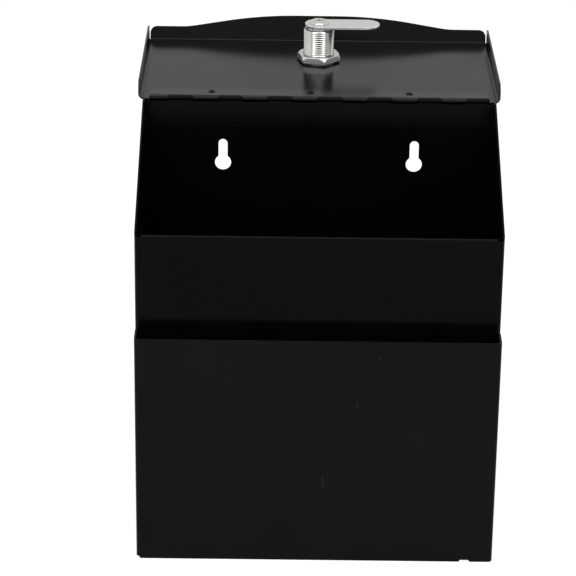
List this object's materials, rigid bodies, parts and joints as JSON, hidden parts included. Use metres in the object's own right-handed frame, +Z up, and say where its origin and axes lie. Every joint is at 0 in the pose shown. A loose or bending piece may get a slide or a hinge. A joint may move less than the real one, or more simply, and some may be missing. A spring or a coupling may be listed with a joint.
{
  "type": "donation box",
  "caption": "Wall-mount steel donation box with a front literature pocket and a sloping hinged lid held by a cam lock, drawn with its lid open.",
  "frame": {"origin": "middle of the base's underside, halfway between the front panel and the back face", "axes": "+Z up, +Y towards the wall that the box hangs on, +X to the right as seen from the front"},
  "size_m": [0.2226, 0.2496, 0.279],
  "materials": {
    "black_paint": "semi-gloss powder coat",
    "nickel": "bright nickel plate",
    "zinc": "zinc plate",
    "brass": "machined",
    "black_plastic": "moulded satin"
  },
  "bodies": {
    "box": {"body_shell": "black_paint", "back_panel": "black_paint", "bottom_panel": "black_paint", "literature_pocket": "black_paint", "latch_strike": "black_paint", "body_hinge_leaf": "black_paint", "hinge_pin": "black_paint", "body_leaf_rivets": "black_paint"},
    "lid": {"lid_panel": "black_paint", "lid_hinge_leaf": "black_paint", "lid_leaf_rivets": "black_paint", "lock_barrel": "nickel", "lock_nut": "nickel", "lock_washer": "zinc"},
    "plug": {"lock_plug": "nickel", "wafer_tumblers": "brass", "tumbler_springs": "zinc", "stop_washer": "nickel", "cam": "nickel", "cam_screw": "nickel"},
    "key": {"key_blade": "nickel", "key_head": "black_plastic"},
    "ring": {"key_ring": "nickel"},
    "spare_key": {"spare_key_blade": "nickel", "spare_key_head": "black_plastic"}
  },
  "joints": [
    {"name": "lid_hinge", "type": "hinge", "parent": "box", "child": "lid", "pos_m": [0, 0.05105, 0.2541], "axis": [1, 0, 0], "range_deg": [0, 205.76]},
    {"name": "lock_turn", "type": "hinge", "parent": "lid", "child": "plug", "pos_m": [0, 0.13229, 0.25235], "axis": [0, 0, 1], "range_deg": [0, 90]},
    {"name": "key_pull", "type": "slide", "parent": "plug", "child": "key", "axis": [0, 0, -1], "range_m": [0, 0.0225]},
    {"name": "ring_swing", "type": "hinge", "parent": "key", "child": "ring", "pos_m": [0, 0.13229, 0.21825], "axis": [1, 0, 0], "range_deg": [-25, 25]},
    {"name": "spare_swing", "type": "hinge", "parent": "ring", "child": "spare_key", "pos_m": [0, 0.13229, 0.20385], "axis": [1, 0, 0], "range_deg": [-25, 25]}
  ]
}
